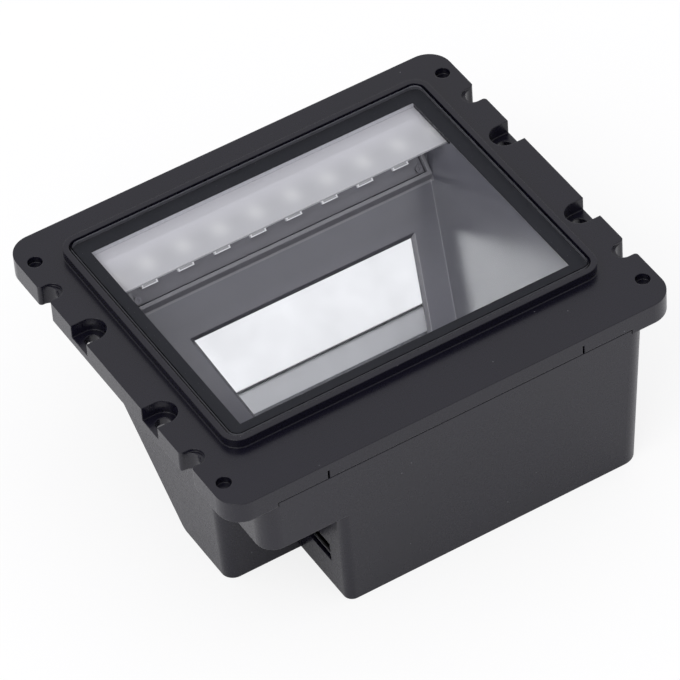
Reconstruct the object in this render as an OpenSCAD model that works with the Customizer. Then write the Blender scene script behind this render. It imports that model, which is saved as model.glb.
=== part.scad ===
// Fixed barcode reader with an upward window, as a set of separate solids.
// Millimetres, +X right along the front edge, +Y to the rear, +Z up.
// The flat underside of the housing lies on z = 0, under the middle of the flange.

/* [Flange] */
// Width of the flange, left to right
flange_w = 78.7; // [78.2:0.1:84]
// Depth of the flange, front to rear
flange_d = 67.4; // [67:0.1:71]
// Thickness of the flange plate
flange_t = 3.8; // [3.6:0.05:4.4]
// Corner radius of the flange
flange_r = 4; // [3:0.1:5]
// Height of the flange top above the base
deck = 32.6; // [32.4:0.1:36]
// Height of the front joint line above the flange underside
joint_step = 0.9; // [0.6:0.05:1.2]
// Half distance between the two slits over the front joint line
slit_x = 22.45; // [18:0.05:26]
// Height of the open joint line in the front face
joint_gap = 0.15; // [0.1:0.05:0.25]
// Height of a slit
slit_h = 1.6; // [1.2:0.05:1.8]

/* [Flange cut-outs] */
// Distance between the two counterbored slots of one side
slot_pitch = 21.1; // [18:0.1:24]
// Width of a counterbored slot
slot_w = 4.75; // [4.4:0.05:5]
// Depth of a counterbored slot below the flange top
slot_depth = 2.45; // [2:0.05:2.6]
// Distance of a slot's screw hole from the flange edge
slot_inset = 2.25; // [2.1:0.05:2.5]
// Radius of a slot's screw hole
slot_hole_r = 1.2; // [1:0.05:1.3]
// Distance between the two plain notches of one side
notch_pitch = 42.2; // [40:0.1:46]
// Width of a plain notch
notch_w = 3.4; // [3:0.1:4]
// Depth of a plain notch from the flange edge
notch_in = 2.35; // [2.1:0.05:2.6]
// Depth of the shallow step behind a plain notch
notch_step = 0.5; // [0.3:0.05:0.8]
// Length of that step
notch_step_l = 0.7; // [0.5:0.05:0.9]
// Rounding of a notch's mouth
notch_mouth = 0.55; // [0.3:0.05:0.7]
// Distance of the corner sockets from the flange sides
socket_side = 2.4; // [2.2:0.05:3]
// Distance of the corner sockets from the flange front and rear
socket_end = 5.65; // [5:0.05:6.5]
// Radius of a corner socket
socket_r = 1.2; // [1:0.05:1.4]
// Depth of a corner socket
socket_depth = 1.2; // [0.8:0.05:1.6]

/* [Window] */
// Distance of the clear window from the housing's sides
window_side = 5; // [4.9:0.05:5.6]
// Distance of the clear window from the flange front
window_front = 13.9; // [13.7:0.05:14.3]
// Distance of the clear window from the flange rear
window_rear = 9.3; // [9.1:0.05:9.7]
// Width of the dark border round the clear window
border = 2.6; // [2.4:0.05:2.8]
// Thickness of the window glass
glass_t = 1; // [0.9:0.05:1.1]
// Thickness of the border tape under the glass
tape_t = 0.2; // [0.15:0.05:0.3]
// Gap between the glass and the rim
glass_gap = 0.35; // [0.3:0.05:0.45]
// Width of the rim's top
rim_t = 0.95; // [0.8:0.05:1.1]
// Height of the rim above the flange
rim_h = 1.65; // [1.6:0.05:1.8]
// Thickness of the ledge that carries the glass
ledge_t = 1; // [0.9:0.05:1.1]

/* [Housing] */
// Width of the housing at its top
body_w = 68.2; // [68:0.1:69]
// Overhang of the flange behind the housing
body_back = 1.7; // [1.1:0.1:1.9]
// Side lean of the housing walls, per mm of height
lean_side = 0.0367; // [0.02:0.001:0.04]
// Front lean of the housing wall, per mm of height
lean_front = 0.0367; // [0.02:0.001:0.045]
// Wall thickness of the housing
wall = 1.6; // [1.5:0.05:1.7]
// Thickness of the sloped rear wall
slope_t = 1.15; // [1:0.05:1.4]
// Underside of the rear compartment below the flange top
rear_drop = 11.6; // [11.5:0.1:12.4]
// Distance of the front box's left face from the middle, at its top
box_reach = 21.2; // [21:0.1:21.6]
// Distance of the optical chamber beside the box from the flange front
chamber_in = 15; // [14.7:0.05:15.3]
// Underside of the front lip below the flange top
lip_drop = 13.2; // [13:0.1:13.6]
// Radius of the housing's upright outer edges
edge_r = 3; // [2:0.1:3.5]
// Radius of the chamber's upright edge beside the cable notch
chamber_r = 2; // [1:0.1:2.5]
// Radius of the box's upright edge beside the cable notch
box_r = 1.5; // [1:0.1:1.6]
// Radius of the bend at the foot of the slope
foot_r = 2; // [1:0.1:4]

/* [Optics] */
// Distance of the 45 degree panel from the clear window's rear edge, at the flange top
panel_in = 0.9; // [0.8:0.05:1]
// Lean of the hood's side walls, per mm of depth
hood_lean = 0.38; // [0.37:0.005:0.4]
// Thickness of the hood walls
hood_t = 1; // [0.9:0.05:1.1]
// Depth of the hood's wide upper part below the flange top
hood_deep = 8.5; // [8.2:0.1:9]
// Thickness of the hood's collar inside the window ledge
collar_t = 0.8; // [0.7:0.05:0.9]
// Thickness of the hood's rim plate
hood_rim_t = 1.5; // [1.4:0.05:1.7]
// Thickness of the 45 degree panel
panel_t = 0.6; // [0.5:0.05:0.7]
// Distance of the mirror opening down the panel
mirror_from = 18; // [17.6:0.1:18.6]
// Distance of the mirror opening's lower edge from the foot of the panel
mirror_foot = 3.9; // [3.6:0.1:4.6]
// Distance of the mirror opening's upper corners from the clear window's sides
mirror_side = 9.45; // [9.1:0.05:10]
// Narrowing of the mirror opening, per mm of length
mirror_taper = 0.271; // [0.25:0.005:0.3]
// Overlap of the mirror behind its opening
mirror_lap = 1.2; // [1:0.1:1.4]
// Thickness of the mirror
mirror_t = 0.7; // [0.6:0.05:0.8]
// Thickness of the mirror's adhesive tape
mirror_tape_t = 0.15; // [0.1:0.05:0.2]

/* [Lighting] */
// Distance of the outer light chips from the light board's ends
led_end = 3.485; // [3.2:0.005:3.8]
// Width of a light chip
led_w = 2.8; // [2.6:0.1:2.9]
// Length of a light chip
led_l = 5.4; // [5.2:0.1:5.6]
// Thickness of a light chip
led_t = 0.6; // [0.5:0.05:0.65]
// Distance of the light chips down the panel
led_down = 4.65; // [4.6:0.05:5]
// Thickness of the light board
led_board_t = 0.8; // [0.7:0.05:0.9]
// Distance of the light board from the clear window's sides
led_side = 2.9; // [2.8:0.05:3.1]
// Distance of the light board's middle down the panel
tray_mid = 5.4; // [5.35:0.05:5.5]
// Length of the light board down the panel
led_board_l = 8.2; // [8.1:0.05:8.3]
// Depth of the light board's face below the panel face
led_sink = 0.35; // [0.25:0.05:0.4]
// Width of the raised frame round the light board
frame_w = 0.6; // [0.5:0.05:0.7]
// Height of that frame above the panel
frame_h = 0.75; // [0.5:0.05:0.8]
// Reach of the diffuser sheet in front of the clear window's rear edge
sheet_reach = 9.45; // [9:0.05:9.9]
// Thickness of the diffuser sheet
sheet_t = 0.3; // [0.25:0.05:0.4]
// Width of the light board's flex strip
flex_w = 3; // [2.6:0.1:3.2]
// Thickness of the flex strip
flex_t = 0.2; // [0.15:0.05:0.25]

/* [Boards] */
// Height of the main board above the housing floor
board_up = 3.2; // [3.1:0.1:4.4]
// Thickness of the circuit boards
board_t = 1.2; // [1:0.05:1.3]
// Distance of the main board from the housing's right side, at its top
board_side = 9.7; // [9.5:0.1:10.1]
// Distance of the camera board from the flange front
camera_in = 4.3; // [4.2:0.05:4.5]
// Height of the lens axis above the main board
lens_up = 5.2; // [5.1:0.05:5.6]
// Radius of the lens barrel
lens_r = 3.4; // [3.2:0.05:3.5]
// Size of the square lens holder
holder_w = 9.6; // [9.4:0.1:9.8]
// Depth of the lens holder
holder_d = 5; // [4.8:0.1:5.2]
// Length of the lens barrel beyond its holder
barrel_l = 3; // [2.8:0.1:3.2]
// Width of the port's metal shell
port_w = 7.4; // [7.2:0.05:8]
// Height of the port's metal shell
port_h = 3.2; // [3:0.05:3.4]
// Length of the port's metal shell
port_l = 7.3; // [7:0.05:7.4]
// Distance of the port's middle from the flange front
port_in = 9.2; // [8.8:0.05:9.4]

/* [Screws] */
// Distance of the case screws from the housing's sides
case_side = 5.6; // [5.4:0.1:5.8]
// Distance of the front case screws from the flange front
case_front_in = 6.7; // [6.5:0.1:6.9]
// Distance of the rear case screws from the housing's rear face
case_rear_in = 3.8; // [3.6:0.1:4]
// Depth of the case screws' seats below the flange underside
case_grip = 6.1; // [5.9:0.1:6.3]
// Radius of the case screw shank
case_screw_r = 0.9; // [0.8:0.05:0.95]
// Radius of the case screw head
case_head_r = 1.9; // [1.75:0.05:2]
// Length of the case screw shank
case_screw_l = 8; // [7.6:0.1:8.2]
// Radius of the board screw shank
board_screw_r = 0.7; // [0.6:0.05:0.75]
// Radius of the board screw head
board_head_r = 1.45; // [1.35:0.05:1.5]
// Length of the board screw shank
board_screw_l = 3.4; // [3:0.1:3.6]
// Radius of the light board screw shank
led_screw_r = 0.25; // [0.2:0.05:0.3]
// Radius of the light board screw head
led_head_r = 0.6; // [0.55:0.05:0.7]
// Clearance round shafts and in holes
clear = 0.3; // [0.25:0.05:0.35]

/* [Hidden] */
$fn = 48;
big = 200;
root2 = sqrt(2);
front_y = -flange_d / 2;
rear_y = flange_d / 2;
clear_w = body_w - 2 * window_side;
clear_front = front_y + window_front;
clear_rear = rear_y - window_rear;
body_rear = rear_y - body_back;
box_left = -box_reach;
chamber_front = front_y + chamber_in;
panel_y = clear_rear - panel_in;
under = -flange_t;
base = -deck;
floor_z = base + wall;
joint_z = under + joint_step;
body_h = deck - flange_t;
wall_front = front_y + lean_front * joint_step;
lap_half = body_w / 2 - edge_r;
lap_t = wall - clear;
// Glass, rim and ledge
glass_w = clear_w + 2 * border;
glass_front = clear_front - border;
glass_rear = clear_rear + border;
glass_mid = (glass_front + glass_rear) / 2;
glass_d = glass_rear - glass_front;
glass_r = 1.6;
glass_under = rim_h - glass_t;
ledge_top = glass_under - tape_t;
ledge_under = ledge_top - ledge_t;
ledge_lap = 0.2;
pocket_w = glass_w + 2 * glass_gap;
pocket_d = glass_d + 2 * glass_gap;
pocket_r = glass_r + glass_gap;
rim_w = pocket_w + 2 * rim_t;
rim_d = pocket_d + 2 * rim_t;
// Hood: its upper front wall, its lower front wall and its rim plate
hood_half = clear_w / 2 + 0.4;
hood_front = clear_front - 0.4;
hood_step = -hood_deep;
hood_low_front = chamber_front + wall + clear + hood_t;
hood_floor = floor_z + hood_t;
hood_grow = hood_t * sqrt(1 + hood_lean * hood_lean);
rim_plate_half = hood_half + hood_grow + 0.7;
rim_plate_front = hood_front - hood_t - 0.6;
rim_plate_rear = clear_rear + 1.4;
rim_plate_low = ledge_under - hood_rim_t;
collar_half = hood_half + hood_lean * ledge_top + collar_t;
collar_front = hood_front - collar_t;
mirror_half = clear_w / 2 - mirror_side;
mirror_len = (deck - wall - hood_t) * root2 - mirror_from - mirror_foot;
sheet_half = hood_half + 0.9;
sheet_front = clear_rear - sheet_reach;
collar_rear = sheet_front - collar_t;
sheet_rear = rim_plate_rear - 0.7;
// Stack behind the 45 degree panel, each as the y where its plane crosses the flange top
back_y = panel_y + panel_t * root2;
inner_y = back_y + (mirror_t + mirror_tape_t) * root2;
outer_y = inner_y + slope_t * root2;
foot_y = outer_y + base;
foot_run = foot_r * tan(22.5);
// Light board tray, in the frame of the panel
led_count = 8;
led_board_w = clear_w - 2 * led_side;
led_pitch = (led_board_w - 2 * led_end) / (led_count - 1);
tray_gap = 0.1;
tray_half = led_board_w / 2 + tray_gap;
tray_low = tray_mid + led_board_l / 2 + tray_gap;
tray_high = tray_mid - led_board_l / 2 - tray_gap;
tray_seat = -led_sink - led_board_t;
tray_floor_t = 0.8;
frame_end = tray_high + 2 * frame_h + 0.2;
led_screw_x = led_board_w / 2 - led_head_r - 0.15;
led_screw_s = tray_low - tray_gap - led_head_r - 0.2;
led_screw_l = 3 * led_board_t;
port_y = front_y + port_in;
port_x = box_left + lean_side * (deck - 9 - flange_t) + 0.6;
// Flex strip: it leaves the tray to the left, runs beside the hood and drops to the main board
flex_x = -hood_half - hood_grow + 0.35;
flex_top = hood_step + 2;
flex_y = rim_plate_front - 0.75;
flex_end = port_x + port_l + flex_w + 1.1;
flex_s = tray_mid - 0.3;
flex_turn = panel_y + flex_top - 0.5;
flex_in = led_sink - flex_t / 2;
// Main board and what stands on it
cam_half = holder_w + 0.4;
board_right = body_w / 2 - board_side;
board_z = floor_z + board_up;
board_top = board_z + board_t;
board_left = box_left + lean_side * body_h + wall + clear;
board_front = front_y + wall + lean_front * body_h + clear;
board_rear = hood_low_front - hood_t - 0.4;
board_screw_left = -cam_half - 1;
board_screw_right = board_right - 2.2;
board_spots = [
    [board_screw_left, board_rear - 2],
    [board_screw_left, board_front + 1.8],
    [board_screw_right, board_rear - 2],
    [board_screw_right, board_front + 1.8]];
board_head_t = board_head_r * 0.69;
pilot_l = board_screw_l - board_t + 0.5;
standoff_r = 2;
socket_h = 1.6;
chip_w = 9;
chip_x = 11.5;
chip_y = (board_front + board_rear) / 2;
memory_w = 7;
memory_d = 5.5;
memory_x = 4;
// Camera board and lens
lens_z = board_top + lens_up;
cam_y = front_y + camera_in;
cam_face = cam_y + board_t;
cam_low = board_top + board_head_t + clear;
cam_high = lens_z + holder_w / 2 + 2 * board_head_r + clear;
cam_screw_x = cam_half - board_head_r - 0.55;
cam_screw_z = cam_high - board_head_r - 0.45;
sensor_w = 5;
sensor_t = 0.9;
barrel_in = sensor_t + 0.9;
// Case screws
case_x = body_w / 2 - case_side;
case_front = front_y + case_front_in;
case_rear = body_rear - case_rear_in;
case_seat = under - case_grip;
case_head_t = case_head_r * 0.79;
post_r = case_head_r + clear + 1;
case_spots = [
    [-case_x, case_front, -lip_drop],
    [case_x, case_front, base],
    [-case_x, case_rear, -rear_drop],
    [case_x, case_rear, -rear_drop]];

// Raises a part from the flange top to its place above the base
module raised() {
    translate([0, 0, deck]) children();
}

// Rectangle with round corners
module rrect(w, d, r) {
    square([w - 2 * r, d], center = true);
    square([w, d - 2 * r], center = true);
    for (sx = [-1, 1], sy = [-1, 1])
        translate([sx * (w / 2 - r), sy * (d / 2 - r)]) circle(r = r);
}

// Slab with round corners between two heights
module slab(w, d, r, z0, z1) {
    translate([0, 0, z0]) linear_extrude(height = z1 - z0) rrect(w, d, r);
}

// Box between two corners
module block(a, b) {
    translate(a) cube([b[0] - a[0], b[1] - a[1], b[2] - a[2]]);
}

// Prism of a y, z outline, from x0 to x1
module side_prism(x0, x1) {
    translate([x0, 0, 0]) rotate([90, 0, 90]) linear_extrude(height = x1 - x0) children();
}

// Prism of an x, z outline, through everything from front to rear
module front_prism() {
    translate([0, big, 0]) rotate([90, 0, 0]) linear_extrude(height = 2 * big) children();
}

// Frame of the 45 degree panel: y runs up the panel, z points away from it
module on_panel() {
    translate([0, panel_y, 0]) rotate([45, 0, 0]) children();
}

// Cylinder along y from y0 to y1
module rod_y(x, z, r, y0, y1) {
    translate([x, y0, z]) rotate([-90, 0, 0]) cylinder(r = r, h = y1 - y0);
}

// Sharp corner to take off an upright, leaning edge so that it ends round
module edge_cut(x, y, sx, sy, lx, ly, r) {
    translate([x, y, under]) rotate([atan(ly), -atan(lx), 0]) difference() {
        translate([sx > 0 ? -r : -1, sy > 0 ? -r : -1, -deck]) cube([r + 1, r + 1, deck + 2]);
        translate([-sx * r, -sy * r, -deck - 1]) cylinder(r = r, h = deck + 4);
    }
}

// Plain notch in plan, opening to the right at x = 0
module notch_plan() {
    translate([-notch_in + notch_w / 2, 0]) circle(d = notch_w);
    translate([-notch_in + notch_w / 2, -notch_w / 2]) square([notch_in + 2, notch_w]);
}

// Rounded mouth of a plain notch
module notch_mouth_plan() {
    difference() {
        translate([-notch_mouth, -notch_w / 2 - notch_mouth])
            square([notch_mouth + 1, notch_w + 2 * notch_mouth]);
        for (s = [-1, 1])
            translate([-notch_mouth, s * (notch_w / 2 + notch_mouth)]) circle(r = notch_mouth);
    }
}

// Cut-outs of one side of the flange, made for the right side
module side_cuts() {
    for (s = [-1, 1]) {
        translate([flange_w / 2 - slot_inset, s * slot_pitch / 2, 0]) {
            translate([0, 0, -slot_depth]) cylinder(d = slot_w, h = big);
            translate([0, -slot_w / 2, -slot_depth]) cube([big, slot_w, big]);
            translate([0, 0, -big / 2]) cylinder(r = slot_hole_r, h = big);
        }
        translate([flange_w / 2, s * notch_pitch / 2, 0]) {
            translate([0, 0, -big / 2]) linear_extrude(height = big) notch_plan();
            translate([0, 0, -big / 2]) linear_extrude(height = big) notch_mouth_plan();
            translate([-notch_step_l, 0, -notch_step]) linear_extrude(height = big) notch_plan();
        }
        translate([flange_w / 2 - socket_side, s * (flange_d / 2 - socket_end), -socket_depth])
            cylinder(r = socket_r, h = big);
    }
}

// Flange, rim and ledge in one moulding
module top_cover() {
    color([0.06, 0.06, 0.065]) raised() difference() {
        union() {
            slab(flange_w, flange_d, flange_r, under, 0);
            translate([0, glass_mid, 0]) slab(rim_w, rim_d, pocket_r + rim_t, under, rim_h);
        }
        translate([0, glass_mid, 0]) slab(pocket_w, pocket_d, pocket_r, ledge_top, big);
        block([-clear_w / 2 - ledge_lap, clear_front - ledge_lap, -big],
            [clear_w / 2 + ledge_lap, clear_rear + ledge_lap, big]);
        block([-collar_half - clear / 2, collar_front - clear / 2, -big],
            [collar_half + clear / 2, collar_rear + clear / 2, big]);
        block([-rim_plate_half - clear, rim_plate_front - clear, -big],
            [rim_plate_half + clear, rim_plate_rear + clear, ledge_under]);
        side_cuts();
        mirror([1, 0, 0]) side_cuts();
        block([-lap_half - clear / 2, -big, -big],
            [lap_half + clear / 2, front_y + lap_t + clear / 2, joint_z]);
        for (s = [-1, 1])
            block([s * slit_x - 0.18, -big, joint_z - 0.1],
                [s * slit_x + 0.18, front_y + 0.6, joint_z + slit_h]);
        for (p = case_spots)
            translate([p[0], p[1], -big])
                cylinder(r = case_screw_r + clear, h = big + case_seat + case_screw_l + 0.5);
    }
}

module window_glass() {
    color([0.75, 0.85, 0.88, 0.3]) raised() translate([0, glass_mid, 0])
        slab(glass_w, glass_d, glass_r, glass_under, rim_h);
}

// Black adhesive frame between the glass and its ledge
module window_tape() {
    color([0.03, 0.03, 0.035]) raised() difference() {
        translate([0, glass_mid, 0]) slab(glass_w, glass_d, glass_r, ledge_top, glass_under);
        block([-clear_w / 2, clear_front, -big], [clear_w / 2, clear_rear, big]);
    }
}

// Housing outline from the front, moved inwards by t, up to z = top
module body_outline(t, top) {
    half_top = body_w / 2 - t + lean_side * (top - under);
    half_low = body_w / 2 - t - lean_side * body_h;
    polygon([[-half_top, top], [half_top, top], [half_low, base], [-half_low, base]]);
}

// Housing outline from the side, with a round bend at the foot of the slope
module side_outline() {
    bend_y = foot_y + foot_run / root2;
    bend_z = base + foot_run / root2;
    polygon([[wall_front, under], [body_rear, under], [body_rear, -rear_drop],
        [outer_y - rear_drop, -rear_drop],
        [bend_y, bend_z], [foot_y - foot_run, base], [wall_front + lean_front * body_h, base]]);
    intersection() {
        translate([foot_y - foot_run, base + foot_r]) circle(r = foot_r);
        polygon([[foot_y - foot_run, base], [foot_y, base], [bend_y, bend_z]]);
    }
}

// Room inside the housing from the side
module side_room() {
    polygon([[wall_front + wall - lean_front * 8, under + 8], [body_rear - wall, under + 8],
        [body_rear - wall, -rear_drop + wall], [inner_y - rear_drop + wall, -rear_drop + wall],
        [inner_y + floor_z, floor_z], [wall_front + wall + lean_front * body_h, floor_z]]);
}

// Room of the cable notch, its walls moved outwards by t
module cable_notch(t) {
    top = -lip_drop + t;
    intersection() {
        front_prism() polygon([[-big, top], [box_left + t + lean_side * (under - top), top],
            [box_left + t + lean_side * (body_h + 5), base - 5], [-big, base - 5]]);
        block([-big, -big, -big], [big, chamber_front + t, big]);
    }
}

module housing_outer() {
    difference() {
        intersection() {
            front_prism() body_outline(0, under);
            side_prism(-big, big) side_outline();
        }
        cable_notch(0);
        edge_cut(body_w / 2, wall_front, 1, -1, -lean_side, lean_front, edge_r);
        edge_cut(-body_w / 2, wall_front, -1, -1, lean_side, lean_front, edge_r);
        edge_cut(body_w / 2, body_rear, 1, 1, -lean_side, 0, edge_r);
        edge_cut(-body_w / 2, body_rear, -1, 1, lean_side, 0, edge_r);
        intersection() {
            union() {
                edge_cut(-body_w / 2, chamber_front, -1, -1, lean_side, 0, chamber_r);
                edge_cut(box_left, wall_front, -1, -1, lean_side, lean_front, box_r);
            }
            block([-big, -big, -big], [big, big, -lip_drop]);
        }
    }
}

// Case below the flange: front box, front lip, chamber with its slope, rear compartment
module lower_housing() {
    color([0.065, 0.065, 0.07]) raised() difference() {
        union() {
            difference() {
                housing_outer();
                difference() {
                    intersection() {
                        front_prism() body_outline(wall, 5);
                        side_prism(-big, big) side_room();
                    }
                    cable_notch(wall);
                }
            }
            side_prism(-lap_half, lap_half) polygon([[wall_front, under], [front_y + lap_t, under],
                [front_y + lap_t, joint_z - joint_gap],
                [front_y + lean_front * joint_gap, joint_z - joint_gap]]);
            for (p = case_spots) translate([p[0], p[1], p[2]]) cylinder(r = post_r, h = under - p[2]);
            for (p = board_spots)
                translate([p[0], p[1], floor_z - 0.5])
                    cylinder(r = standoff_r, h = board_z - floor_z + 0.5);
            for (s = [-1, 1]) rod_y(s * cam_screw_x, cam_screw_z, standoff_r, front_y + wall - 0.1, cam_y);
        }
        for (p = case_spots) {
            translate([p[0], p[1], -big]) cylinder(r = case_screw_r + clear, h = 2 * big);
            translate([p[0], p[1], -big]) cylinder(r = case_head_r + clear, h = big + case_seat);
        }
        for (p = board_spots)
            translate([p[0], p[1], board_z - pilot_l]) cylinder(r = board_screw_r + clear, h = big);
        for (s = [-1, 1])
            rod_y(s * cam_screw_x, cam_screw_z, board_screw_r + clear, cam_y - pilot_l, cam_y + 1);
        block([box_left - 3, port_y - port_w / 2 - clear, board_top - clear],
            [box_left + 5, port_y + port_w / 2 + clear, board_top + port_h + clear]);
    }
}

// Hood outline from the front, moved outwards by g
module hood_outline(g, top, low) {
    half_top = hood_half + hood_lean * top + g;
    half_low = hood_half + hood_lean * low + g;
    polygon([[-half_top, top], [half_top, top], [half_low, low], [-half_low, low]]);
}

// Mirror outline on the panel, its top edge on y = 0, grown by g
module mirror_plan(g) {
    low = mirror_half - mirror_taper * mirror_len;
    polygon([[-mirror_half - g, g], [mirror_half + g, g], [low + g, -mirror_len - g],
        [-low - g, -mirror_len - g]]);
}

// Opening over the mirror, its four sides sloped open towards the front
module mirror_way() {
    low = -mirror_from - mirror_len;
    intersection() {
        side_prism(-big, big) polygon([[low, -2 * panel_t], [-mirror_from, -2 * panel_t],
            [-mirror_from, -panel_t], [-mirror_from + 2 * panel_t, panel_t],
            [low - 2 * panel_t, panel_t], [low, -panel_t]]);
        mirror_edge();
        mirror([1, 0, 0]) mirror_edge();
    }
}

// Everything to the left of the opening's right side
module mirror_edge() {
    translate([mirror_half, -mirror_from, 0]) rotate([0, 0, -atan(mirror_taper)]) front_prism()
        polygon([[-big, -3 * panel_t], [0, -3 * panel_t], [0, -panel_t], [2 * panel_t, panel_t],
            [-big, panel_t]]);
}

// Open hood from the window down to the mirror, with the tray of the light board
module light_hood() {
    color([0.12, 0.12, 0.125]) raised() difference() {
        union() {
            intersection() {
                front_prism() hood_outline(hood_grow, ledge_under, floor_z);
                side_prism(-big, big) polygon([[hood_front - hood_t, ledge_under],
                    [back_y + ledge_under, ledge_under],
                    [back_y + floor_z, floor_z], [hood_low_front - hood_t, floor_z],
                    [hood_low_front - hood_t, hood_step - hood_t],
                    [hood_front - hood_t, hood_step - hood_t]]);
            }
            block([-rim_plate_half, rim_plate_front, rim_plate_low],
                [rim_plate_half, rim_plate_rear, ledge_under]);
            block([-collar_half, collar_front, rim_plate_low], [collar_half, collar_rear, ledge_top]);
            on_panel() block([-tray_half - frame_w, -tray_low - frame_w, tray_seat - tray_floor_t],
                [tray_half + frame_w, -tray_high + frame_w, -0.1]);
            on_panel() for (s = [-1, 1])
                translate([s * led_screw_x, -led_screw_s, tray_seat - tray_floor_t - 1.4])
                    cylinder(r = 1.2, h = 1.8);
        }
        intersection() {
            front_prism() hood_outline(0, 10, floor_z);
            side_prism(-big, big) polygon([[hood_front, 10], [panel_y + 10, 10],
                [panel_y + hood_floor, hood_floor],
                [hood_low_front, hood_floor], [hood_low_front, hood_step], [hood_front, hood_step]]);
        }
        on_panel() block([-tray_half, -tray_low, tray_seat], [tray_half, -tray_high, big]);
        on_panel() mirror_way();
        on_panel() for (s = [-1, 1])
            translate([s * led_screw_x, -led_screw_s, -big / 2])
                cylinder(r = led_screw_r + clear * 2 / 3, h = big);
        on_panel() flex_way();
        block([-sheet_half - clear / 2, sheet_front - 0.4, ledge_under - sheet_t],
            [sheet_half + clear / 2, sheet_rear + clear / 2, big]);
        block([-9, -big, lens_z - 6.5], [9, hood_low_front + 1, lens_z + 6.5]);
    }
    color([0.12, 0.12, 0.125]) raised() on_panel() tray_frame();
}

// Raised frame round the light board
module tray_frame() {
    difference() {
        union() {
            block([-tray_half - frame_w, -tray_low - frame_w, -0.2],
                [tray_half + frame_w, -frame_end, frame_h]);
            side_prism(-tray_half - frame_w, tray_half + frame_w) polygon([[-tray_low, -0.2],
                [-tray_low, frame_h],
                [-tray_low - frame_w, frame_h], [-tray_low - frame_w - frame_h - 0.2, -0.2]]);
        }
        block([-tray_half, -tray_low, -5], [tray_half, 10, 5]);
        flex_way();
    }
}

// Way of the flex strip through the left wall of the tray and the hood
module flex_way() {
    block([-big, -flex_s - flex_w / 2 - clear, -led_sink], [0, -flex_s + flex_w / 2 + clear, big]);
}

module fold_mirror() {
    color([0.85, 0.87, 0.9]) raised() on_panel() translate([0, -mirror_from, -panel_t - mirror_t])
        linear_extrude(height = mirror_t) mirror_plan(mirror_lap);
}

module mirror_tape() {
    color([0.2, 0.2, 0.2]) raised() on_panel() translate([0, -mirror_from,
        -panel_t - mirror_t - mirror_tape_t])
        linear_extrude(height = mirror_tape_t) mirror_plan(-2);
}

// Translucent sheet clamped between the hood's rim plate and the window ledge
module diffuser_sheet() {
    color([0.8, 0.8, 0.82, 0.8]) raised()
        block([-sheet_half, sheet_front, ledge_under - sheet_t], [sheet_half, sheet_rear, ledge_under]);
}

module led_board() {
    color([0.1, 0.12, 0.11]) raised() on_panel() difference() {
        block([-led_board_w / 2, -tray_low + tray_gap, tray_seat], [led_board_w / 2,
            -tray_high - tray_gap, -led_sink]);
        for (s = [-1, 1])
            translate([s * led_screw_x, -led_screw_s, -5]) cylinder(r = led_screw_r + clear * 2 / 3, h = 10);
    }
}

module leds() {
    color([0.9, 0.88, 0.75]) raised() on_panel() for (i = [0 : led_count - 1])
        translate([(i - (led_count - 1) / 2) * led_pitch - led_w / 2, -led_down - led_l / 2, -led_sink])
            cube([led_w, led_l, led_t]);
}

// Pan head screw with a cross recess, its seat on z = 0 and its shank downwards
module pan_screw(r, l, head_r, head_t) {
    translate([0, 0, -l]) cylinder(r = r, h = l + head_t / 4);
    difference() {
        cylinder(r = head_r, h = head_t);
        for (a = [0, 90]) rotate([0, 0, a])
            translate([-head_r * 0.6, -head_r * 0.13, head_t * 0.55]) cube([head_r * 1.2, head_r * 0.26,
                head_t]);
    }
}

module led_screws() {
    color([0.5, 0.5, 0.52]) raised() on_panel() for (s = [-1, 1])
        translate([s * led_screw_x, -led_screw_s, -led_sink]) pan_screw(led_screw_r, led_screw_l,
            led_head_r, led_head_r * 2 / 3);
}

// Flat strip from the light board to its socket on the main board
module led_flex() {
    color([0.45, 0.28, 0.08]) raised() {
        on_panel() block([flex_x, -flex_s - flex_w / 2, -led_sink],
            [-(led_count - 1) / 2 * led_pitch - led_w / 2 - 0.3, -flex_s + flex_w / 2, -led_sink + flex_t]);
        side_prism(flex_x, flex_x + flex_t) polygon([
            [panel_y + (flex_in - flex_s + flex_w / 2) / root2, (-flex_in - flex_s + flex_w / 2) / root2],
            [flex_turn, flex_top], [flex_y, flex_top], [flex_y, flex_top - flex_w], [flex_turn + 1,
                flex_top - flex_w],
            [panel_y + (flex_in - flex_s - flex_w / 2) / root2, (-flex_in - flex_s - flex_w / 2) / root2]]);
        block([flex_x, flex_y, flex_top - flex_w], [flex_end, flex_y + flex_t, flex_top]);
        block([flex_end - flex_w, flex_y, board_top + socket_h], [flex_end, flex_y + flex_t, flex_top]);
    }
}

module flex_socket() {
    color([0.8, 0.78, 0.7]) raised() block([flex_end - flex_w - 0.6, flex_y - 0.7, board_top],
        [flex_end + 0.6, flex_y + flex_t + 0.7, board_top + socket_h]);
}

module camera_board() {
    color([0.05, 0.25, 0.12]) raised() difference() {
        block([-cam_half, cam_y, cam_low], [cam_half, cam_face, cam_high]);
        for (s = [-1, 1]) rod_y(s * cam_screw_x, cam_screw_z, board_screw_r + clear, cam_y - board_t,
            cam_face + board_t);
    }
}

module image_sensor() {
    color([0.15, 0.15, 0.17]) raised() block([-sensor_w / 2, cam_face, lens_z - sensor_w / 2],
        [sensor_w / 2, cam_face + sensor_t, lens_z + sensor_w / 2]);
}

module lens_holder() {
    color([0.03, 0.03, 0.03]) raised() difference() {
        block([-holder_w / 2, cam_face, cam_low], [holder_w / 2, cam_face + holder_d,
            lens_z + holder_w / 2]);
        rod_y(0, lens_z, lens_r + clear, cam_y, cam_face + holder_d + 1);
    }
}

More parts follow.
